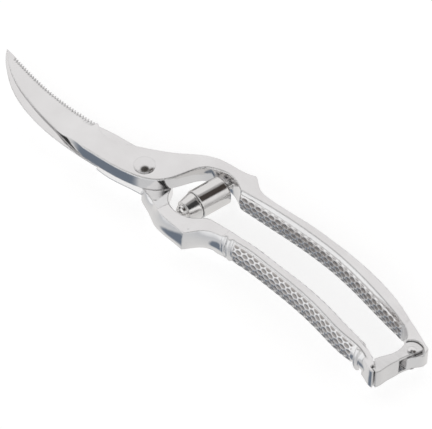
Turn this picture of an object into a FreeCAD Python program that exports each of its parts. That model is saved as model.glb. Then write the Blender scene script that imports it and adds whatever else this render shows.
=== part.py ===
import FreeCAD, Part
import math
import os

# Poultry shears: two forged halves lapped on a pivot screw, a telescoping return-spring
# barrel between the handles, and a folded sheet latch that holds the handles together.
#
# Frame: millimetres, +Z up. The origin is where the pivot axis meets the resting plane.
# X runs from the blade tips (-X) to the latch (+X), and the shears lie closed on z = 0.

Vector = FreeCAD.Vector
UP = Vector(0, 0, 1)

# ---- driving dimensions ------------------------------------------------------------
HALF = 6.8              # thickness of one half at the pivot, and height of the lap plane
LAP_GAP = 0.06          # each half stands this far off the lap plane
END_HALF = 5.2          # half height of the handle ends
BULGE = 2.6             # how far the grip sides swell past the flat strip
COLLAR_BULGE = 2.0      # and how far a collar across them does
ROUND_EDGE = 0.45       # broken edges of the forging
WALL_DEPTH = 3.0        # how far the bow's arched outer wall reaches into the half

TIP = (-100.0, 10.2)
SERRATION_START = -92.0
SERRATION_END = -37.0
TOOTH_PITCH = 1.6
TOOTH_RADIUS = 0.6
TOOTH_LIFT = 0.45        # height of a tooth cutter's middle over the lap plane at the edge
TOOTH_SLOPE = 0.3
GROOVE_LENGTH = 3.0

PIVOT_SHANK_R = 3.0
PIVOT_HEAD_R = 4.75
PIVOT_DOME = 1.3
NUT_R = 4.6
NUT_THICK = 2.6
NUT_THREAD_R = 2.5
RUNNING = 0.05          # radial clearance of the pins in their holes

# The spring barrel lies on the lap plane between two ball-ended pegs.
LOWER_SEAT = Vector(26.1, -4.2, HALF)
UPPER_SEAT = Vector(29.8, 19.2, HALF)
PEG_BALL_R = 2.0
PEG_NECK_R = 1.2
PEG_SHANK_R = 1.6
PEG_NECK = 2.4          # from the ball's centre to the peg's shank
PEG_END = 6.4           # and to the end of the shank, pressed into the wall
PEG_COUNTERBORE = 0.5   # the shank's hole opens this far in front of the shank
SOCKET_GAP = 0.12
SOCKET_LIP = 0.6        # how far a socket's mouth passes its ball's centre
# Distances below run along the barrel's axis from the lower ball's centre.
NOSE_R = 3.4
NOSE_END = 1.8
CONE_SMALL_R = 4.6
CONE_LARGE_R = 6.0
CONE_END = 7.7
PLUNGER_R = 5.3
PLUNGER_END = 20.7
BORE_R = 4.4
BORE_FLOOR = 4.0
CUP_R = 6.55
CUP_RIM = 8.0
CUP_BORE_R = 5.8
CUP_FLOOR = 20.95
CUP_CHAMFER = 21.9
CUP_END = 23.0
SPRING_R = 3.6
SPRING_WIRE_R = 0.5
SPRING_TURNS = 7

LATCH_PIVOT = (147.8, 6.2)
LATCH_PLATE = 1.2
LATCH_GAP = 0.3
TONGUE_HALF = 3.4       # half height of both handle tongues, under the latch plates
LATCH_EYE_R = 4.5
HOOK_R = 18.0           # radius of the hook's middle about the latch rivet
SLOT_CLEAR = 0.4
RIVET_R = 1.25
RIVET_HEAD_R = 1.95
RIVET_DOME = 0.8


# ---- helpers -----------------------------------------------------------------------
def edge_through(points, z):
    """A straight edge through two plan points, a smooth one through three or more."""
    places = [Vector(x, y, z) for x, y in points]
    if len(places) == 2:
        return Part.LineSegment(places[0], places[1]).toShape()
    curve = Part.BSplineCurve()
    curve.interpolate(places)
    return curve.toShape()


def plate(runs, low, high):
    """Extrude a closed plan outline, given as runs of points joined end to end."""
    edges = [edge_through(run, low) for run in runs]
    face = Part.Face(Part.Wire(Part.__sortEdges__(edges)))
    return face.extrude(Vector(0, 0, high - low))


def lines_through(points):
    """Straight runs that close a profile."""
    return [[points[i], points[(i + 1) % len(points)]] for i in range(len(points))]


def side_prism(runs, y_low, y_high):
    """Extrude along Y a closed outline given in X and Z."""
    edges = []
    for run in runs:
        places = [Vector(x, y_low, z) for x, z in run]
        if len(places) == 2:
            edges.append(Part.LineSegment(places[0], places[1]).toShape())
        else:
            curve = Part.BSplineCurve()
            curve.interpolate(places)
            edges.append(curve.toShape())
    face = Part.Face(Part.Wire(Part.__sortEdges__(edges)))
    return face.extrude(Vector(0, y_high - y_low, 0))


def disc(centre, radius, low, high):
    return Part.makeCylinder(radius, high - low, Vector(centre[0], centre[1], low))


def grind(edge_points, inboard_points, edge_z, inboard_z, away):
    """Wedge that grinds a bevel from an edge to a line inboard; away is +1 or -1 in Z."""
    wires = []
    far = 9.0 * away
    for (ex, ey), (ix, iy), z_in in zip(edge_points, inboard_points, inboard_z):
        run = 0.8
        out = Vector(ex + (ex - ix) * run, ey + (ey - iy) * run, edge_z + (edge_z - z_in) * run)
        inner = Vector(ix, iy, z_in)
        corners = [out, inner, inner + Vector(0, 0, far), Vector(out.x, out.y, inner.z + far)]
        wires.append(Part.makePolygon(corners + [corners[0]]))
    return Part.makeLoft(wires, True, False)


def turned(profile, base, axis):
    """Revolve a profile of (radius, distance along axis) pairs or arcs about axis at base."""
    edges = []
    for item in profile:
        places = [Vector(r, 0, s) for r, s in item]
        if len(places) == 2:
            edges.append(Part.LineSegment(places[0], places[1]).toShape())
        else:
            edges.append(Part.Arc(places[0], places[1], places[2]).toShape())
    face = Part.Face(Part.Wire(Part.__sortEdges__(edges)))
    solid = face.revolve(Vector(0, 0, 0), UP, 360)
    turn = FreeCAD.Rotation(UP, axis)
    solid.Placement = FreeCAD.Placement(base, turn)
    return solid


def domed_head(radius, rim, dome, length, shank_r):
    """Profile of a head with a spherical crown over a plain shank, seat at distance 0."""
    height = dome - rim
    sphere = (radius**2 + height**2) / (2 * height)
    half_way = dome - sphere + math.sqrt(sphere**2 - radius**2 / 4)
    return [
        [(0, -length), (shank_r, -length)],
        [(shank_r, -length), (shank_r, 0)],
        [(shank_r, 0), (radius, 0)],
        [(radius, 0), (radius, rim)],
        [(radius, rim), (radius / 2, half_way), (0, dome)],
        [(0, dome), (0, -length)],
    ]


# ---- thickness of the halves along X ------------------------------------------------
# How far a half reaches past the lap plane, on the other half's side, beyond the pivot.
BOW_RISE = [(13.8, -LAP_GAP), (19.0, 1.9), (29.0, 4.0), (40.0, 5.6), (50.0, 6.5), (60.0, HALF)]
HANDLE_END = [(120.0, HALF), (130.0, 6.3), (140.0, END_HALF)]
NEAR_X, FAR_X = -104.0, 160.0
ACROSS = (-40.0, 60.0)   # range of Y that holds both handles


def thickness_prism():
    """Side outline of the half above the lap plane, with that plane at z = 0."""
    inner = [(x, -rise) for x, rise in BOW_RISE]
    return side_prism(
        [
            [(NEAR_X, LAP_GAP), (NEAR_X, HALF)],
            [(NEAR_X, HALF), HANDLE_END[0]],
            HANDLE_END,
            [HANDLE_END[-1], (FAR_X, END_HALF)],
            [(FAR_X, END_HALF), (FAR_X, -END_HALF)],
            [(FAR_X, -END_HALF), (HANDLE_END[-1][0], -END_HALF)],
            [(x, -z) for x, z in reversed(HANDLE_END)],
            [(HANDLE_END[0][0], -HALF), inner[-1]],
            list(reversed(inner)),
            [inner[0], (NEAR_X, LAP_GAP)],
        ],
        *ACROSS,
    )


FULL_DEPTH = HALF + 0.15  # a face this far off the lap plane leaves the forging whole
RAMP_END = -19.5
RAMP_STATIONS = 12


def eased(x, start, finish):
    """Share of a ramp climbed at x, level at both of its ends."""
    share = min(max((x - start) / (finish - start), 0.0), 1.0)
    return share * share * (3 - 2 * share)


def blade_face(blade, ramp_high, ramp_low, end_low, y_high, y_low):
    """Cutters above a blade's ground face and above the ramp up to the full forging.

    A blade station is (x, z at y_high, z at y_low). The ramp runs over the x range ramp_high
    at y_high, and over ramp_low at y_low, where it ends at the height end_low.
    """
    start, z_high, z_low = blade[-1]
    ramp = []
    for i in range(RAMP_STATIONS + 1):
        x = start + (RAMP_END - start) * i / RAMP_STATIONS
        high = z_high + (FULL_DEPTH - z_high) * eased(x, *ramp_high)
        ramp.append((x, high, z_low + (end_low - z_low) * eased(x, *ramp_low)))
    cutters = []
    far = 2 * HALF
    over = 8.0
    for stations, ruled in ((blade, True), (ramp, False)):
        wires = []
        for x, high, low in stations:
            rise = (high - low) / (y_high - y_low) * over
            corners = [
                Vector(x, y_high + over, high + rise),
                Vector(x, y_low - over, low - rise),
                Vector(x, y_low - over, far),
                Vector(x, y_high + over, far),
            ]
            wires.append(Part.makePolygon(corners + [corners[0]]))
        cutters.append(Part.makeLoft(wires, True, ruled))
    return cutters


def grip(stations):
    """Loft of a grip: flat strips above and below, arched sides between them."""
    wires = []
    for x, y_in, y_out, top, low, bulge in stations:
        side = math.copysign(bulge, y_out - y_in)
        middle = (top + low) / 2
        inner_top = Vector(x, y_in, top)
        outer_top = Vector(x, y_out, top)
        outer_low = Vector(x, y_out, low)
        inner_low = Vector(x, y_in, low)
        edges = [
            Part.LineSegment(inner_top, outer_top).toShape(),
            Part.Arc(outer_top, Vector(x, y_out + side, middle), outer_low).toShape(),
            Part.LineSegment(outer_low, inner_low).toShape(),
            Part.Arc(inner_low, Vector(x, y_in - side, middle), inner_top).toShape(),
        ]
        wires.append(Part.Wire(edges))
    return Part.makeLoft(wires, True, False)


def to_lower(solid):
    """Turn a solid of the upper half over, about the lap plane, for the lower half."""
    return solid.mirror(Vector(0, 0, 0), UP)


def fillet_plan_edges(solid, radius, height, x_low, x_high, keep):
    """Round the edges that lie at one height and satisfy keep(x, y)."""
    chosen = []
    for edge in solid.Edges:
        box = edge.BoundBox
        middle = edge.valueAt((edge.FirstParameter + edge.LastParameter) / 2)
        if abs(box.ZMin - height) > 0.02 or abs(box.ZMax - height) > 0.02:
            continue
        if box.XMin < x_low or box.XMax > x_high or not keep(middle.x, middle.y):
            continue
        chosen.append(edge)
    return solid.makeFillet(radius, chosen) if chosen else solid


# ---- serrated half -------------------------------------------------------------------
SERRATED_EDGE = [TIP, (-86.0, 8.2), (-70.0, 6.0), (-54.0, 5.5), (-36.6, 6.6)]

# Ground face: (x, height at y = 8, height at y = -10) above the lap plane.
SERRATED_FACE = [(-104.0, 0.5, 1.3), (-80.0, 0.3, 1.3), (-60.0, 0.25, 1.15), (-48.0, 0.35, 1.15)]
SERRATED_RAMP = ((-39.0, -24.0), (-48.0, -28.0))

UPPER_GRIP = [
    (40.0, 19.1, 24.0, HALF, -5.6, 2.0),
    (46.0, 19.9, 24.0, HALF, -6.1, 2.2),
    (53.0, 20.7, 23.9, HALF, -6.6, 2.4),
    (64.0, 21.6, 24.5, HALF, -HALF, BULGE),
    (82.0, 22.1, 25.3, HALF, -HALF, BULGE),
    (98.0, 21.2, 24.8, HALF, -HALF, BULGE),
    (113.0, 18.9, 23.0, HALF, -HALF, BULGE),
    (126.0, 16.2, 20.6, 6.5, -6.5, 2.1),
    (137.0, 13.3, 17.4, END_HALF, -END_HALF, 0.8),
]


def serrated_plan():
    notch = [(-36.6, 6.6), (-33.4, 4.6), (-30.2, 1.8), (-26.5, 0.5), (-21.0, 1.0)]
    notch += [(-15.0, 3.2), (-9.4, 6.4)]
    bow_top = [(-9.4, 6.4), (-2.0, 10.6), (5.8, 15.9), (14.0, 22.4), (22.0, 25.9)]
    bow_top += [(30.0, 27.0), (38.4, 29.3)]
    spur = [(38.4, 29.3), (41.4, 27.5), (44.6, 25.2), (48.5, 24.0), (53.0, 23.9)]
    recess = [(39.3, 18.9), (36.9, 20.2), (33.2, 21.5), (28.8, 21.7), (24.2, 20.3)]
    recess += [(19.6, 17.6), (16.7, 12.4), (14.6, 6.0), (11.8, 0.2), (7.4, -4.1)]
    recess += [(1.2, -7.0), (-6.1, -8.9), (-15.0, -10.2), (-27.0, -11.3)]
    spine = [(-27.0, -11.3), (-37.0, -10.5), (-47.0, -8.9), (-58.0, -7.3), (-68.0, -5.3)]
    spine += [(-78.0, -2.6), (-86.5, 0.9), (-93.0, 4.8), TIP]
    return [
        SERRATED_EDGE,
        notch,
        bow_top,
        spur,
        [(53.0, 23.9), (53.0, 20.7)],
        [(53.0, 20.7), (39.3, 18.9)],
        recess,
        spine,
    ]


def upper_end():
    """Flat end block of the upper handle, with the tongue that carries the latch."""
    runs = [
        [(133.0, 18.75), (138.0, 17.1), (145.0, 14.4), (150.6, 12.0)],
        [(150.6, 12.0), (152.6, 10.6), (152.5, 8.6), (150.6, 5.6), (148.6, 2.6)],
        [(148.6, 2.6), (144.2, 2.6)],
        [(144.2, 2.6), (143.4, 6.4), (142.0, 10.2), (139.4, 12.6), (133.0, 14.5)],
        [(133.0, 14.5), (133.0, 18.75)],
    ]
    block = plate(runs, -END_HALF, END_HALF)
    worn = [(150.2, -END_HALF - 0.1), (151.6, -4.7), (152.5, -3.6), (153.0, -1.8)]
    corner = (156.0, -END_HALF - 0.1)
    rounding = side_prism([worn, [worn[-1], corner], [corner, worn[0]]], *ACROSS)
    block = block.cut(rounding)
    eye = disc(LATCH_PIVOT, LATCH_EYE_R + 0.6, TONGUE_HALF, HALF)
    corner = Vector(LATCH_PIVOT[0] - 6.0, LATCH_PIVOT[1] - 9.0, TONGUE_HALF)
    step = eye.fuse(Part.makeBox(14.0, 9.0, HALF, corner))
    lower_step = step.mirror(Vector(0, 0, 0), UP)
    hole = disc(LATCH_PIVOT, RIVET_R, -HALF, HALF)
    return block.cut(step).cut(lower_step).cut(hole)


def edge_y(x):
    """Where the serrated edge lies at x, read off its own curve."""
    curve = Part.BSplineCurve()
    curve.interpolate([Vector(px, py, 0) for px, py in SERRATED_EDGE])
    low, high = curve.FirstParameter, curve.LastParameter
    for _ in range(40):
        middle = (low + high) / 2
        if curve.value(middle).x < x:
            low = middle
        else:
            high = middle
    return curve.value(low).y


def serrations():
    """Round cutters that file the teeth and their fine grooves into the upper face."""
    cutters = []
    count = int((SERRATION_END - SERRATION_START) / TOOTH_PITCH)
    for i in range(count + 1):
        x = SERRATION_START + i * TOOTH_PITCH
        y = edge_y(x)
        slope = (edge_y(x + 1.0) - edge_y(x - 1.0)) / 2.0
        inward = Vector(slope, -1.0, 0)
        inward.normalize()
        start = Vector(x, y, TOOTH_LIFT) - (inward + UP * TOOTH_SLOPE)
        finish = Vector(x, y, TOOTH_LIFT) + (inward + UP * TOOTH_SLOPE) * GROOVE_LENGTH
        axis = finish - start
        cutters.append(Part.makeCylinder(TOOTH_RADIUS, axis.Length, start, axis))
    return cutters


def barrel_axis():
    axis = UPPER_SEAT - LOWER_SEAT
    axis.normalize()
    return axis


def peg_hole(seat, direction):
    """Hole for a spring peg, bored into a handle's inner wall along direction."""
    mouth = PEG_NECK - PEG_COUNTERBORE
    return Part.makeCylinder(PEG_SHANK_R + 0.01, PEG_END - mouth, seat + direction * mouth, direction)


def make_serrated_half():
    body = plate(serrated_plan(), -HALF, HALF)
    body = fillet_plan_edges(body, ROUND_EDGE, HALF, -40.0, 52.0, lambda x, y: True)
    body = body.common(thickness_prism())
    body = body.cut(blade_face(SERRATED_FACE, *SERRATED_RAMP, FULL_DEPTH, 8.0, -10.0))
    body = body.fuse([grip(UPPER_GRIP), upper_end()])
    body = body.cut(serrations())
    body = body.cut(disc((0, 0), PIVOT_SHANK_R + RUNNING, -HALF, HALF))
    body.translate(Vector(0, 0, HALF))
    body = body.removeSplitter()
    return body.cut(peg_hole(UPPER_SEAT, barrel_axis()))


# ---- plain half ----------------------------------------------------------------------
# Ground face: (x, depth at y = 8, depth at y = -12) below the lap plane.
PLAIN_FACE = [(-104.0, 0.7, 0.3), (-80.0, 1.4, 0.3), (-60.0, 1.5, 0.3), (-48.0, 1.7, 0.3)]
PLAIN_RAMP = ((-49.0, -26.5), (-36.0, RAMP_END))
PLAIN_HEEL = 0.5         # depth of the edge's face where the blade ends

LOWER_GRIP = [
    (46.0, -1.2, -5.2, 5.6, -HALF, 0.4),
    (52.0, -0.6, -4.8, 6.6, -HALF, 1.4),
    (60.0, -0.3, -3.2, HALF, -HALF, BULGE),
    (76.0, -0.2, -2.9, HALF, -HALF, BULGE),
    (92.0, -0.5, -3.5, HALF, -HALF, BULGE),
    (108.0, -2.0, -5.3, HALF, -HALF, BULGE),
    (124.0, -4.5, -7.8, 6.6, -6.6, 2.4),
    (138.0, -7.3, -10.3, END_HALF, -END_HALF, 1.4),
]

# Heel below the edge: its outline, and the bevels above and below that leave a blunt rim.
HEEL_EDGE = [(-19.5, -10.5), (-16.7, -10.6), (-12.8, -10.5), (-6.0, -9.3), (0.0, -8.1)]
HEEL_EDGE.append((4.6, -7.4))
HEEL_BEVEL = 1.8         # width of the bevel above, from the lap plane down to the rim
HEEL_UNDERCUT = 3.0      # and of the one below
HEEL_RIM = (2.0, 2.5)    # depths of the rim's two edges below the lap plane


# Arched outer walls: top edge and bottom edge in plan, height of the top edge, bulge, and
# the direction into the half. The two walls meet in the ridge of the spur.
RIDGE = ((38.2, -14.7), (36.6, -14.4), 5.4, 0.5, (0.0, 1.0))
BOW_WALL = [
    ((4.6, -5.6), (4.6, -6.9), 0.0, 0.3, (0.0, 1.0)),
    ((10.0, -6.9), (9.6, -8.9), 0.0, 0.7, (0.3, 1.0)),
    ((13.9, -8.4), (13.4, -10.5), 0.0, 0.9, (0.4, 1.0)),
    ((19.2, -10.9), (18.4, -12.9), 2.0, 1.0, (0.4, 1.0)),
    ((24.4, -12.7), (23.6, -13.9), 3.1, 1.1, (0.2, 1.0)),
    ((30.6, -13.7), (29.4, -14.1), 4.25, 1.1, (0.1, 1.0)),
    RIDGE,
]
SPUR_WALL = [
    RIDGE,
    ((40.4, -11.9), (38.8, -11.4), 5.65, 1.0, (-0.7, 1.0)),
    ((43.7, -8.1), (42.0, -7.6), 6.0, 1.4, (-0.6, 1.0)),
    ((47.5, -6.2), (46.4, -5.3), 6.3, 1.5, (-0.3, 1.0)),
    ((51.8, -5.1), (51.8, -4.4), 6.6, 1.6, (0.0, 1.0)),
]


def plain_plan():
    edge = [TIP, (-96.6, 6.2), (-89.8, 0.8), (-80.0, -5.0), (-69.8, -8.8)]
    edge += [(-58.0, -11.3), (-45.6, -12.4), (-33.0, -12.2), HEEL_EDGE[0]]
    bow_low = [(4.6, -5.4), (9.5, -6.4), (13.6, -7.8), (19.0, -10.3), (24.2, -12.0)]
    bow_low += [(30.0, -12.9), (36.4, -13.4)]
    spur = [(36.4, -13.4), (39.0, -10.4), (42.3, -7.0), (46.5, -4.8), (51.8, -3.9)]
    bow_in = [(42.0, -1.2), (38.9, -2.2), (35.4, -5.0), (31.0, -7.1), (26.5, -7.2)]
    bow_in += [(21.6, -5.9), (17.5, -3.2), (14.5, 0.6), (11.6, 5.4), (7.0, 8.9)]
    bow_in += [(0.0, 10.8), (-6.5, 10.8), (-13.0, 10.0)]
    spine = [(-13.0, 10.0), (-21.0, 8.9), (-28.0, 8.0), (-37.0, 6.1), (-54.0, 5.0)]
    spine += [(-70.0, 5.5), (-86.0, 7.7), TIP]
    return [
        edge,
        HEEL_EDGE,
        [HEEL_EDGE[-1], bow_low[0]],
        bow_low,
        spur,
        [spur[-1], (51.8, -0.6)],
        [(51.8, -0.6), (42.0, -1.2)],
        bow_in,
        spine,
    ]


def lower_end():
    """End block of the lower handle, with the slot that the latch hooks into."""
    runs = [
        [(136.5, -7.2), (140.0, -7.6), (143.8, -8.2)],
        [(143.8, -8.2), (143.9, -13.2)],
        [(143.9, -13.2), (141.3, -12.9), (139.0, -12.0), (136.5, -11.1)],
        [(136.5, -11.1), (136.5, -7.2)],
    ]
    block = plate(runs, -END_HALF, END_HALF)
    near = [(139.2, -5.0), (147.0, -5.0), (147.0, -15.4), (139.2, -7.6)]
    step = plate(lines_through(near), TONGUE_HALF, HALF)
    lower_step = step.mirror(Vector(0, 0, 0), UP)
    ring = disc(LATCH_PIVOT, HOOK_R + 0.6 + SLOT_CLEAR, -HALF, HALF)
    ring = ring.cut(disc(LATCH_PIVOT, HOOK_R - 0.6 - SLOT_CLEAR, -HALF, HALF))
    reach = Part.makeBox(10.0, 20.0, 2 * HALF, Vector(141.6, -20.0, -HALF))
    return block.cut(step).cut(lower_step).cut(ring.common(reach))


# Collars across the outer side of the lower grip: (x, outermost y) of beads and grooves.
BEADS = [(55.2, -6.1), (132.5, -11.3)]
GROOVES = [(53.5, -6.3), (56.9, -6.0), (130.8, -11.1), (134.2, -11.45)]
COLLAR_R = (HALF**2 + COLLAR_BULGE**2) / (2 * COLLAR_BULGE)
COLLAR_REACH = 4.0       # how far round the side a collar is kept, measured across the handle
BEAD_R = 1.0
BEAD_SINK = 0.45         # how deep a bead's middle line lies under the side
GROOVE_R = 0.6


def collar(x, outermost, radius):
    """A ring that follows the arched outer side of the lower grip."""
    centre = Vector(x, outermost + COLLAR_R, 0)
    ring = Part.makeTorus(COLLAR_R, radius, centre, Vector(1, 0, 0))
    corner = Vector(x - 2 * radius, outermost - 2 * radius, -HALF)
    return ring.common(Part.makeBox(4 * radius, COLLAR_REACH, 2 * HALF, corner))


def arched_wall(stations):
    """Loft of a bow's outer wall; each section arches from a bottom to a top edge point."""
    wires = []
    for (top_x, top_y), (low_x, low_y), top_z, bulge, (inward_x, inward_y) in stations:
        top = Vector(top_x, top_y, top_z)
        low = Vector(low_x, low_y, -HALF)
        inward = Vector(inward_x, inward_y, 0)
        inward.normalize()
        middle = (top + low) / 2 - inward * bulge
        over = top + (top - low) * 0.15
        edges = [
            Part.Arc(low, middle, top).toShape(),
            Part.LineSegment(top, over).toShape(),
            Part.LineSegment(over, over + inward * WALL_DEPTH).toShape(),
            Part.LineSegment(over + inward * WALL_DEPTH, low + inward * WALL_DEPTH).toShape(),
            Part.LineSegment(low + inward * WALL_DEPTH, low).toShape(),
        ]
        wires.append(Part.Wire(edges))
    return Part.makeLoft(wires, True, False)


def make_plain_half():
    body = plate(plain_plan(), -HALF, HALF)
    body = fillet_plan_edges(body, ROUND_EDGE, -HALF, -12.0, 50.0, lambda x, y: y > -4.0)
    body = body.fuse([arched_wall(BOW_WALL), arched_wall(SPUR_WALL)])
    body = body.common(to_lower(thickness_prism()))
    face = blade_face(PLAIN_FACE, *PLAIN_RAMP, PLAIN_HEEL, 8.0, -12.0)
    body = body.cut([to_lower(cutter) for cutter in face])
    bevels = [(HEEL_BEVEL, HEEL_RIM[0], 0.0, -1), (HEEL_UNDERCUT, HEEL_RIM[1], HALF, 1)]
    for width, rim, depth, away in bevels:
        inboard = [(x, y + width) for x, y in HEEL_EDGE]
        body = body.cut(to_lower(grind(HEEL_EDGE, inboard, rim, [depth] * len(HEEL_EDGE), away)))
    body = body.fuse([grip(LOWER_GRIP), lower_end()])
    body = body.cut([collar(x, y, GROOVE_R) for x, y in GROOVES])
    body = body.fuse([collar(x, y + BEAD_SINK, BEAD_R) for x, y in BEADS])
    shank = disc((0, 0), PIVOT_SHANK_R + 0.01, -HALF, HALF)
    nut = disc((0, 0), NUT_R + RUNNING, -HALF, NUT_THICK - HALF)
    body = body.cut([shank, nut])
    body.translate(Vector(0, 0, HALF))
    body = body.removeSplitter()
    return body.cut(peg_hole(LOWER_SEAT, barrel_axis() * -1))


# ---- pivot ---------------------------------------------------------------------------
def make_pivot_screw():
    top = 2 * HALF + RUNNING
    reach = top - NUT_THICK
    head = domed_head(PIVOT_HEAD_R, 0.45, PIVOT_DOME, reach, PIVOT_SHANK_R)
    screw = turned(head, Vector(0, 0, top), UP)
    thread = disc((0, 0), NUT_THREAD_R, 0.7, NUT_THICK + 0.5)
    return screw.fuse(thread).removeSplitter()


def make_pivot_nut():
    nut = disc((0, 0), NUT_R, 0, NUT_THICK)
    nut = nut.cut(disc((0, 0), NUT_THREAD_R + 0.01, 0.6, NUT_THICK))
    key_holes = [disc((side * 3.5, 0), 0.6, 0, 0.9) for side in (-1, 1)]
    return nut.cut(key_holes)


# ---- spring barrel -------------------------------------------------------------------
def make_peg(seat, direction):
    """Peg pressed into a handle, with a ball end for the barrel to swivel on."""
    join = math.sqrt(PEG_BALL_R**2 - PEG_NECK_R**2)
    profile = [
        [(0, -PEG_BALL_R), (PEG_BALL_R, 0), (PEG_NECK_R, join)],
        [(PEG_NECK_R, join), (PEG_NECK_R, PEG_NECK)],
        [(PEG_NECK_R, PEG_NECK), (PEG_SHANK_R, PEG_NECK)],
        [(PEG_SHANK_R, PEG_NECK), (PEG_SHANK_R, PEG_END)],
        [(PEG_SHANK_R, PEG_END), (0, PEG_END)],
        [(0, PEG_END), (0, -PEG_BALL_R)],
    ]
    return turned(profile, seat, direction)


def make_spring_plunger():
    outside = [
        (0, -SOCKET_LIP),
        (NOSE_R - 0.7, -SOCKET_LIP),
        (NOSE_R, 0.3),
        (NOSE_R, NOSE_END),
        (CONE_SMALL_R, NOSE_END),
        (CONE_LARGE_R, CONE_END - 0.6),
        (CONE_LARGE_R, CONE_END),
        (PLUNGER_R, CONE_END),
        (PLUNGER_R, PLUNGER_END),
        (BORE_R, PLUNGER_END),
        (BORE_R, BORE_FLOOR),
        (0, BORE_FLOOR),
    ]
    body = turned(lines_through(outside), LOWER_SEAT, barrel_axis())
    return body.cut(Part.makeSphere(PEG_BALL_R + SOCKET_GAP, LOWER_SEAT))


def make_spring_cup():
    length = (UPPER_SEAT - LOWER_SEAT).Length
    outside = [
        (0, CUP_FLOOR),
        (CUP_BORE_R, CUP_FLOOR),
        (CUP_BORE_R, CUP_RIM),
        (CUP_R - 0.2, CUP_RIM),
        (CUP_R, CUP_RIM + 0.2),
        (CUP_R, CUP_CHAMFER),
        (CUP_R - 1.3, CUP_END),
        (NOSE_R, CUP_END),
        (NOSE_R, length - 0.2),
        (NOSE_R - 0.7, length + SOCKET_LIP),
        (0, length + SOCKET_LIP),
    ]
    body = turned(lines_through(outside), LOWER_SEAT, barrel_axis())
    return body.cut(Part.makeSphere(PEG_BALL_R + SOCKET_GAP, UPPER_SEAT))


def make_return_spring():
    low = BORE_FLOOR + SPRING_WIRE_R + 0.05
    height = CUP_FLOOR - SPRING_WIRE_R - 0.05 - low
    helix = Part.makeHelix(height / SPRING_TURNS, height, SPRING_R)
    ring = Part.makeCircle(SPRING_WIRE_R, Vector(SPRING_R, 0, 0), Vector(0, 1, 0))
    coil = Part.Wire(helix.Edges).makePipeShell([Part.Wire(ring)], True, True)
    turn = FreeCAD.Rotation(UP, barrel_axis())
    coil.Placement = FreeCAD.Placement(LOWER_SEAT + barrel_axis() * low, turn)
    return coil


# ---- latch ---------------------------------------------------------------------------
PLATE_FACE = TONGUE_HALF + LATCH_GAP


def latch_plate():
    """One side plate of the latch, with a half-round eye at the rivet and a diagonal end."""
    left = [(143.4, 6.2), (143.7, 2.8), (143.1, -0.1), (141.8, -2.9), (140.4, -5.6)]
    left.append((139.8, -7.4))
    right = [(145.0, -12.3), (145.35, -10.8), (145.6, -9.0), (146.2, -5.5), (147.0, -1.5)]
    right += [(147.7, 1.3), (148.6, 3.9), (149.5, 6.0), (150.8, 9.6)]
    eye = [right[-1], (149.0, 10.55), (146.5, 10.5), (144.3, 9.05), left[0]]
    low, high = PLATE_FACE, PLATE_FACE + LATCH_PLATE
    strap = plate([left, [left[-1], right[0]], right, eye], low, high)
    return strap.cut(disc(LATCH_PIVOT, RIVET_R + RUNNING, low, high))


def latch_web():
    """Wall that joins the plates and curls round into the hook."""
    outer = [(147.3, -0.8), (146.7, -3.5), (146.05, -7.0), (145.75, -10.0), (145.0, -12.1)]
    hook = [outer[-1], (143.6, -11.92), (142.3, -11.6)]
    inner = [(142.65, -10.45), (143.9, -10.75), (144.5, -9.9), (144.9, -7.5), (145.5, -4.0)]
    inner.append((146.15, -1.0))
    runs = [outer, hook, [hook[-1], inner[0]], inner, [inner[-1], outer[0]]]
    half = PLATE_FACE + LATCH_PLATE
    return plate(runs, -half, half)


def make_latch():
    top = latch_plate()
    low = top.mirror(Vector(0, 0, 0), UP)
    body = top.fuse([low, latch_web()])
    body.translate(Vector(0, 0, HALF))
    return body.removeSplitter()


def make_latch_rivet():
    seat = PLATE_FACE + LATCH_PLATE + RUNNING
    centre = Vector(LATCH_PIVOT[0], LATCH_PIVOT[1], HALF)
    profile = domed_head(RIVET_HEAD_R, 0.25, RIVET_DOME, seat, RIVET_R)
    top = turned(profile, centre + UP * seat, UP)
    low = top.mirror(centre, UP)
    return top.fuse(low).removeSplitter()


# ---- all the parts -------------------------------------------------------------------
PARTS = {
    "serrated_half": make_serrated_half,
    "plain_half": make_plain_half,
    "pivot_screw": make_pivot_screw,
    "pivot_nut": make_pivot_nut,
    "lower_spring_peg": lambda: make_peg(LOWER_SEAT, barrel_axis() * -1),
    "upper_spring_peg": lambda: make_peg(UPPER_SEAT, barrel_axis()),
    "spring_plunger": make_spring_plunger,
    "spring_cup": make_spring_cup,
    "return_spring": make_return_spring,
    "latch": make_latch,
    "latch_rivet": make_latch_rivet,
}

os.makedirs("parts", exist_ok=True)
for name, make in PARTS.items():
    shape = make()
    shape.exportStep("parts/" + name + ".step")
    print(name, shape.ShapeType, len(shape.Solids), shape.isValid(), round(shape.Volume, 1))
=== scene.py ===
import math

import bpy
import numpy as np
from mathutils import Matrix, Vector
from mathutils.bvhtree import BVHTree


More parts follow.
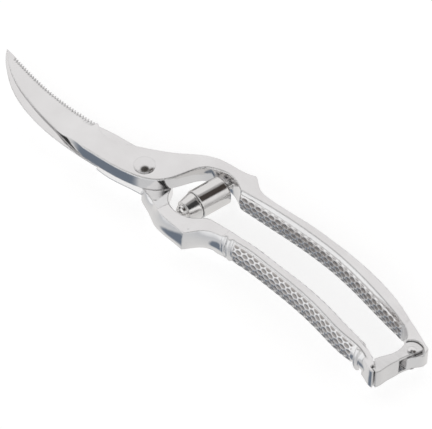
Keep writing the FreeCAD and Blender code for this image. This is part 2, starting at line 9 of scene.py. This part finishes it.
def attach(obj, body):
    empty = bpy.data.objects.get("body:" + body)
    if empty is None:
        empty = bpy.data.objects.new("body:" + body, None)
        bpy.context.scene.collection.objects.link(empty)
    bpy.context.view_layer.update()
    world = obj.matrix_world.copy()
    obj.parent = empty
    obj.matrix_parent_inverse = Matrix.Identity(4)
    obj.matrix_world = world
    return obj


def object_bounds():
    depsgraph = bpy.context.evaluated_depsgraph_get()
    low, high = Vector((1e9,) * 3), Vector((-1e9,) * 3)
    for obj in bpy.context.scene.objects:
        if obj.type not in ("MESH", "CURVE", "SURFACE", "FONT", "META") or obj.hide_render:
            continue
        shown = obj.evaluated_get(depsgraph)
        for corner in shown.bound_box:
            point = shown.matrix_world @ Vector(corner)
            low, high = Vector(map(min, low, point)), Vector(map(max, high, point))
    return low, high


# Poultry shears lying closed on a white table: polished forged halves with hammered grips,
# a turned spring barrel, a pivot screw and a folded sheet latch.
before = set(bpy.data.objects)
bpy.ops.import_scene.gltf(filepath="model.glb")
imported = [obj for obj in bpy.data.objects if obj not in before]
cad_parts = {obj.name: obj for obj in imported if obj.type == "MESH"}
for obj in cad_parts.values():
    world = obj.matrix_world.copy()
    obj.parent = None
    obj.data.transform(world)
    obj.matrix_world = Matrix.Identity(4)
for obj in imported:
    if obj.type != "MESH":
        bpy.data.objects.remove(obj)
cad_low, cad_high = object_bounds()
MM = 0.001

# ---- camera, in the row frame --------------------------------------------------------
CAMERA_AZIMUTH = math.radians(44.5)
CAMERA_ELEVATION = math.radians(49.0)
CAMERA_DISTANCE = 1.0
CAMERA_TARGET = Vector((37.43, 5.785, 6.8)) * MM
CAMERA_LENS = 195.4
SENSOR_WIDTH = 36.0

# ---- materials -----------------------------------------------------------------------
EDGE_RADIUS = 0.60 * MM      # edges catch the light as if broken to this radius,
FORGED_RADIUS = 0.90 * MM    # and those of the forged halves to this one
EDGE_SAMPLES = 4
NOISE_RANGE = (0.3, 0.7)     # the noise values that are spread over a material's range
CLOUD_SCALE = 60.0
CLOUD_DETAIL = 3.0
LINE_DETAIL = 4.0
LINE_DEPTH = 0.02 * MM
EVEN = (1.0, 1.0, 1.0)       # noise that isn't stretched
LENGTHWISE = (0.15, 1.0, 1.0)
FORGED_COLOURS = ((0.80, 0.79, 0.79), (0.86, 0.855, 0.855))
FORGED_GRAIN = 900.0
FORGED_BUMP = 0.12

HOLLOW = "hollow"            # attribute of a skin's points: 1 on the floors of the dimples, where shade is painted
# painted shade: a dark colour on the dimples' floors that stands in for their dark reflections
HOLLOW_PAINTED_SHADE = (0.41, 0.385, 0.37)
HOLLOW_ROUGHNESS = 0.38


def noise(tree, scale, detail, stretch):
    """Noise over the row frame, stretched by a factor along each axis."""
    coordinates = tree.nodes.new("ShaderNodeTexCoord")
    mapping = tree.nodes.new("ShaderNodeMapping")
    texture = tree.nodes.new("ShaderNodeTexNoise")
    mapping.inputs["Scale"].default_value = stretch
    texture.inputs["Scale"].default_value = scale
    texture.inputs["Detail"].default_value = detail
    tree.links.new(coordinates.outputs["Object"], mapping.inputs["Vector"])
    tree.links.new(mapping.outputs["Vector"], texture.inputs["Vector"])
    return texture.outputs["Fac"]


def ramp(tree, value, low, high):
    """Map a noise value to a range between low and high."""
    node = tree.nodes.new("ShaderNodeMapRange")
    node.inputs["From Min"].default_value = NOISE_RANGE[0]
    node.inputs["From Max"].default_value = NOISE_RANGE[1]
    node.inputs["To Min"].default_value = low
    node.inputs["To Max"].default_value = high
    tree.links.new(value, node.inputs["Value"])
    return node.outputs["Result"]


def steel(name, colours, roughness, grain, stretch, bump, edge=EDGE_RADIUS):
    """Bare steel: cloudy colour, uneven polish and fine grinding lines along one axis."""
    material = bpy.data.materials.new(name)
    material.use_nodes = True
    tree = material.node_tree
    shader = tree.nodes["Principled BSDF"]
    shader.inputs["Metallic"].default_value = 1.0
    mix = tree.nodes.new("ShaderNodeMix")
    mix.data_type = "RGBA"
    mix.inputs["A"].default_value = (*colours[0], 1.0)
    mix.inputs["B"].default_value = (*colours[1], 1.0)
    clouds = noise(tree, CLOUD_SCALE, CLOUD_DETAIL, EVEN)
    tree.links.new(ramp(tree, clouds, 0.0, 1.0), mix.inputs["Factor"])
    tree.links.new(mix.outputs["Result"], shader.inputs["Base Color"])
    lines = noise(tree, grain, LINE_DETAIL, stretch)
    tree.links.new(ramp(tree, lines, *roughness), shader.inputs["Roughness"])
    relief = tree.nodes.new("ShaderNodeBump")
    relief.inputs["Strength"].default_value = bump
    relief.inputs["Distance"].default_value = LINE_DEPTH
    tree.links.new(lines, relief.inputs["Height"])
    worn = tree.nodes.new("ShaderNodeBevel")
    worn.samples = EDGE_SAMPLES
    worn.inputs["Radius"].default_value = edge
    tree.links.new(worn.outputs["Normal"], relief.inputs["Normal"])
    tree.links.new(relief.outputs["Normal"], shader.inputs["Normal"])
    return material


def paint_shade_in_hollows(material):
    """Paint shade into the floors of the hammered dimples and make them dull; the net between
    stays polished.
    """
    tree = material.node_tree
    shader = tree.nodes["Principled BSDF"]
    hollow = tree.nodes.new("ShaderNodeAttribute")
    hollow.attribute_name = HOLLOW
    colour = tree.nodes.new("ShaderNodeMix")
    colour.data_type = "RGBA"
    colour.inputs["B"].default_value = (*HOLLOW_PAINTED_SHADE, 1.0)
    dull = tree.nodes.new("ShaderNodeMix")
    dull.inputs["B"].default_value = HOLLOW_ROUGHNESS
    for node, socket in ((colour, "Base Color"), (dull, "Roughness")):
        source = shader.inputs[socket].links[0].from_socket
        tree.links.new(hollow.outputs["Fac"], node.inputs["Factor"])
        tree.links.new(source, node.inputs["A"])
        tree.links.new(node.outputs["Result"], shader.inputs[socket])


MATERIALS = {
    "polished_steel": steel(
        "mirror_steel", FORGED_COLOURS, (0.05, 0.12), FORGED_GRAIN, LENGTHWISE, FORGED_BUMP,
        edge=FORGED_RADIUS,
    ),
    "turned_steel": steel(
        "turned_barrel", ((0.78, 0.77, 0.76), (0.85, 0.84, 0.83)), (0.07, 0.15),
        grain=1400.0, stretch=(1.0, 0.2, 1.0), bump=0.15,
    ),
    "fastener_steel": steel(
        "fastener_steel", ((0.79, 0.78, 0.78), (0.85, 0.845, 0.845)), (0.08, 0.18),
        grain=1100.0, stretch=(1.0, 1.0, 0.3), bump=0.2,
    ),
    "spring_steel": steel(
        "spring_wire", ((0.48, 0.47, 0.46), (0.60, 0.59, 0.58)), (0.2, 0.35),
        grain=1800.0, stretch=EVEN, bump=0.25,
    ),
    "latch_steel": steel(
        "pressed_sheet", ((0.74, 0.735, 0.735), (0.82, 0.815, 0.815)), (0.12, 0.24),
        grain=1000.0, stretch=(0.2, 1.0, 1.0), bump=0.2,
    ),
    "hammered_steel": steel(
        "hammered_steel", FORGED_COLOURS, (0.08, 0.16), FORGED_GRAIN, LENGTHWISE, FORGED_BUMP,
    ),
}
paint_shade_in_hollows(MATERIALS["hammered_steel"])

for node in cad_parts.values():
    for slot in node.material_slots:
        slot.material = MATERIALS[slot.material.name.split(".")[0]]


# ---- hammered grips ------------------------------------------------------------------
CELL_LENGTH = 3.65 * MM      # pitch of the dimples along a handle
ROW_PITCH = 1.95 * MM        # and from row to row round its side
ROW_STAGGER = 0.5            # every other row is shifted by this part of a cell
DIMPLE_LONG = 1.60 * MM      # half length of a dimple
DIMPLE_WIDE = 0.92 * MM      # half width of a dimple
DIMPLE_DEPTH = 0.34 * MM
BOWL_POWER = 2.2             # a dimple's floor is flatter, and its wall steeper, than a cone's
HOLLOW_SHADE_SLOPE = 3             # the painted shade and dullness come in over the top 1/3 of a dimple's depth

SKIN_LIFT = 0.03 * MM        # the dimples' floors stand this far off the handle
SKIN_STEP = 0.20 * MM        # spacing of the grid that carries the dimples
SKIN_FADE = 0.9 * MM         # the pattern runs out over this distance at its borders
SMOOTH_PASSES = 12

GAP_Y = 9.0 * MM             # a line between the handles, where rays to their inner sides start
FAR = 80.0 * MM              # beyond the shears in y and in z, where the other rays start
MIDDLE_Z = (cad_low.z + cad_high.z) / 2
PROBE_DEPTH = 3.2 * MM       # a handle's height is measured this far inside its side

# Smooth margins of a skin, in mm below and above the dimples.
NARROW = (0.5, 0.5)
WIDE_TOP = (0.5, 1.7)
WIDEST_TOP = (0.5, 2.2)
# Each skin's name, CAD node and body, the y its rays start from and the way they go, its
# ends along x in mm, and its margins.
GRIP_SKINS = [
    ("lower_grip_outside", "plain_half", "lower_half", -FAR, 1, (57.9, 129.8), NARROW),
    ("lower_grip_inside", "plain_half", "lower_half", GAP_Y, -1, (52.5, 132.0), WIDEST_TOP),
    ("upper_grip_inside", "serrated_half", "upper_half", GAP_Y, 1, (39.8, 137.0), WIDE_TOP),
    ("upper_grip_outside", "serrated_half", "upper_half", FAR, -1, (55.0, 132.0), WIDEST_TOP),
]


def dimple_height(along, around):
    """Height over the dimples' floor: staggered oval hollows with a thin net between."""
    height = np.full(along.shape, DIMPLE_DEPTH)
    row = np.round(around / ROW_PITCH)
    for step in (-1, 0, 1):
        this_row = row + step
        shift = (this_row % 2) * ROW_STAGGER
        column = np.round(along / CELL_LENGTH - shift) + shift
        for side in (-1, 0, 1):
            du = (along - (column + side) * CELL_LENGTH) / DIMPLE_LONG
            dv = (around - this_row * ROW_PITCH) / DIMPLE_WIDE
            radius = np.sqrt(du**2 + dv**2)
            bowl = DIMPLE_DEPTH * np.clip(radius, 0.0, 1.0) ** BOWL_POWER
            height = np.minimum(height, bowl)
    return height


def smoothed(values):
    """Average a grid with its neighbours, so that the mesh's facets don't show."""
    for _ in range(SMOOTH_PASSES):
        padded = np.pad(values, 1, mode="edge")
        values = (
            padded[:-2, 1:-1] + padded[2:, 1:-1] + padded[1:-1, :-2] + padded[1:-1, 2:]
            + 4 * values
        ) / 8
    return values


def handle_side(node, from_y, toward, ends, margins):
    """A grid over one side of a handle, as rays find it: the points' x, y and z."""
    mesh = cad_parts[node].data
    tree = BVHTree.FromPolygons(
        [v.co for v in mesh.vertices], [p.vertices for p in mesh.polygons]
    )

    def side_y(x, z):
        return tree.ray_cast(Vector((x, from_y, z)), Vector((0, toward, 0)))[0].y

    def face_z(x, y, from_z):
        return tree.ray_cast(Vector((x, y, from_z)), Vector((0, 0, -from_z)))[0].z

    xs = np.arange(ends[0] * MM, ends[1] * MM, SKIN_STEP)
    inside = [side_y(x, MIDDLE_Z) + toward * PROBE_DEPTH for x in xs]
    low = np.array([face_z(x, y, -FAR) for x, y in zip(xs, inside)]) + margins[0] * MM
    high = np.array([face_z(x, y, FAR) for x, y in zip(xs, inside)]) - margins[1] * MM
    rows = int((high - low).max() / SKIN_STEP)
    grid_z = low[:, None] + (high - low)[:, None] * np.linspace(0, 1, rows)
    grid_y = np.array([[side_y(x, z) for z in line] for x, line in zip(xs, grid_z)])
    grid_x = np.repeat(xs[:, None], rows, axis=1)
    return grid_x, smoothed(grid_y), grid_z


def grip_skin(name, node, body, from_y, toward, ends, margins):
    """A dimpled skin laid over one side of a handle."""
    grid_x, grid_y, grid_z = handle_side(node, from_y, toward, ends, margins)
    columns, rows = grid_x.shape
    step_z = np.gradient(grid_z, axis=1)
    slope_z = np.gradient(grid_y, axis=1) / step_z
    slope_x = np.gradient(grid_y, axis=0) / SKIN_STEP
    along = np.cumsum(np.sqrt(1 + slope_x**2) * SKIN_STEP, axis=0)
    around = np.cumsum(np.sqrt(1 + slope_z**2) * step_z, axis=1)
    around -= around[:, [rows // 2]]
    height = dimple_height(along, around)

    # The pattern fades out towards the borders, and the outermost points sink into the handle.
    edge = np.minimum.reduce([
        grid_x - grid_x[:1], grid_x[-1:] - grid_x,
        grid_z - grid_z[:, :1], grid_z[:, -1:] - grid_z,
    ])
    fade = np.clip(edge / SKIN_FADE, 0, 1)
    fade = fade * fade * (3 - 2 * fade)
    rim = np.where(edge < SKIN_STEP / 2, -SKIN_LIFT, SKIN_LIFT)
    lift = (rim + height * fade) / np.sqrt(1 + slope_x**2 + slope_z**2)
    points = np.stack([
        grid_x + toward * slope_x * lift,
        grid_y - toward * lift,
        grid_z + toward * slope_z * lift,
    ], axis=-1)

    faces = []
    for i in range(columns - 1):
        for j in range(rows - 1):
            a = i * rows + j
            quad = (a, a + rows, a + rows + 1, a + 1)
            faces.append(quad if toward > 0 else quad[::-1])
    skin = bpy.data.meshes.new(name)
    skin.from_pydata(points.reshape(-1, 3).tolist(), [], faces)
    skin.shade_smooth()
    skin.materials.append(MATERIALS["hammered_steel"])
    # mask of painted shade and dullness: full on the dimples' floors, none on the net and at
    # the skin's borders
    dark = np.clip(HOLLOW_SHADE_SLOPE * (1 - height / DIMPLE_DEPTH), 0, 1) * fade
    hollow = skin.attributes.new(HOLLOW, "FLOAT", "POINT")
    hollow.data.foreach_set("value", dark.astype(np.float32).ravel())
    piece = bpy.data.objects.new(name, skin)
    bpy.context.scene.collection.objects.link(piece)
    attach(piece, body)


for grip in GRIP_SKINS:
    grip_skin(*grip)


# ---- stage ---------------------------------------------------------------------------
FLOOR_HALF = 3.0
FLOOR_GREY = 0.5
FLOOR_ROUGHNESS = 0.9
FLOOR_GLOW = 0.76            # lifts the floor to white and keeps the shadows faint

# The studio that the steel mirrors, over a full turn about a level axis: 0 degrees is the
# horizon in front, 90 straight up, 180 the horizon behind and -90 straight down.
STUDIO_FRONT = math.radians(14.5)
STUDIO = [
    (-180.0, (0.87, 0.86, 0.86)),
    (-140.0, (0.86, 0.85, 0.85)),
    (-118.0, (0.80, 0.79, 0.78)),
    (-60.0, (0.68, 0.68, 0.68)),
    (-32.0, (0.60, 0.61, 0.63)),
    (-20.0, (0.95, 0.96, 0.97)),
    (30.0, (1.0, 1.0, 1.0)),
    (53.0, (0.90, 0.90, 0.90)),
    (58.0, (0.05, 0.05, 0.05)),
    (82.0, (0.04, 0.04, 0.04)),
    (94.0, (0.86, 0.85, 0.85)),
    (180.0, (0.87, 0.86, 0.86)),
]
# Dark cards round the table: direction, half width in degrees, colour.
CARDS = [
    ((-0.193, 0.196, 0.961), 14.0, (0.06, 0.055, 0.05)),
    ((0.340, 0.468, 0.815), 22.0, (0.06, 0.05, 0.045)),
    ((-0.360, -0.530, -0.755), 17.0, (0.17, 0.20, 0.245)),
]
CARD_EDGE = 3.0              # half the width in degrees of a card's soft edge


def floor():
    """A wide white table top, which the steel doesn't mirror."""
    half = FLOOR_HALF
    mesh = bpy.data.meshes.new("floor")
    corners = [(-half, -half, 0), (half, -half, 0), (half, half, 0), (-half, half, 0)]
    mesh.from_pydata(corners, [], [(0, 1, 2, 3)])
    material = bpy.data.materials.new("white_table")
    material.use_nodes = True
    shader = material.node_tree.nodes["Principled BSDF"]
    shader.inputs["Base Color"].default_value = (FLOOR_GREY, FLOOR_GREY, FLOOR_GREY, 1.0)
    shader.inputs["Roughness"].default_value = FLOOR_ROUGHNESS
    shader.inputs["Specular IOR Level"].default_value = 0.0
    shader.inputs["Emission Color"].default_value = (1.0, 1.0, 1.0, 1.0)
    shader.inputs["Emission Strength"].default_value = FLOOR_GLOW
    mesh.materials.append(material)
    table = bpy.data.objects.new("floor", mesh)
    table.visible_glossy = False
    bpy.context.scene.collection.objects.link(table)


def dark_card(tree, coordinates, colour, direction, half_width, shade):
    """Mix a shade into the studio's colour within a round patch round a direction."""
    facing = tree.nodes.new("ShaderNodeVectorMath")
    facing.operation = "DOT_PRODUCT"
    facing.inputs[1].default_value = Vector(direction).normalized()
    patch = tree.nodes.new("ShaderNodeMapRange")
    patch.inputs["From Min"].default_value = math.cos(math.radians(half_width + CARD_EDGE))
    patch.inputs["From Max"].default_value = math.cos(math.radians(half_width - CARD_EDGE))
    mix = tree.nodes.new("ShaderNodeMix")
    mix.data_type = "RGBA"
    mix.inputs["B"].default_value = (*shade, 1.0)
    tree.links.new(coordinates, facing.inputs[0])
    tree.links.new(facing.outputs["Value"], patch.inputs["Value"])
    tree.links.new(patch.outputs["Result"], mix.inputs["Factor"])
    tree.links.new(colour, mix.inputs["A"])
    return mix.outputs["Result"]


def surroundings():
    """A white studio with dark strips and cards, which give polished steel its contrast."""
    world = bpy.data.worlds.new("studio")
    world.use_nodes = True
    tree = world.node_tree
    coordinates = tree.nodes.new("ShaderNodeTexCoord").outputs["Generated"]
    front = tree.nodes.new("ShaderNodeVectorMath")
    front.operation = "DOT_PRODUCT"
    front.inputs[1].default_value = (math.sin(STUDIO_FRONT), -math.cos(STUDIO_FRONT), 0.0)
    split = tree.nodes.new("ShaderNodeSeparateXYZ")
    arc = tree.nodes.new("ShaderNodeMath")
    arc.operation = "ARCTAN2"
    turn = tree.nodes.new("ShaderNodeMapRange")
    turn.inputs["From Min"].default_value = -math.pi
    turn.inputs["From Max"].default_value = math.pi
    bands = tree.nodes.new("ShaderNodeValToRGB")
    tree.links.new(coordinates, front.inputs[0])
    tree.links.new(coordinates, split.inputs["Vector"])
    tree.links.new(split.outputs["Z"], arc.inputs[0])
    tree.links.new(front.outputs["Value"], arc.inputs[1])
    tree.links.new(arc.outputs["Value"], turn.inputs["Value"])
    tree.links.new(turn.outputs["Result"], bands.inputs["Fac"])
    elements = bands.color_ramp.elements
    while len(elements) < len(STUDIO):
        elements.new(0.5)
    for element, (degrees, shade) in zip(elements, STUDIO):
        element.position = (degrees + 180.0) / 360.0
        element.color = (*shade, 1.0)
    colour = bands.outputs["Color"]
    for card in CARDS:
        colour = dark_card(tree, coordinates, colour, *card)
    tree.links.new(colour, tree.nodes["Background"].inputs["Color"])
    bpy.context.scene.world = world


def camera():
    """A long lens that looks down at the shears from the front right."""
    data = bpy.data.cameras.new("camera")
    data.lens = CAMERA_LENS
    data.sensor_width = SENSOR_WIDTH
    back = Vector((
        math.sin(CAMERA_AZIMUTH) * math.cos(CAMERA_ELEVATION),
        -math.cos(CAMERA_AZIMUTH) * math.cos(CAMERA_ELEVATION),
        math.sin(CAMERA_ELEVATION),
    ))
    item = bpy.data.objects.new("camera", data)
    item.location = CAMERA_TARGET + back * CAMERA_DISTANCE
    item.rotation_mode = "QUATERNION"
    item.rotation_quaternion = (-back).to_track_quat("-Z", "Y")
    bpy.context.scene.collection.objects.link(item)
    bpy.context.scene.camera = item


camera()
floor()
surroundings()
bpy.context.scene.view_settings.view_transform = "Standard"
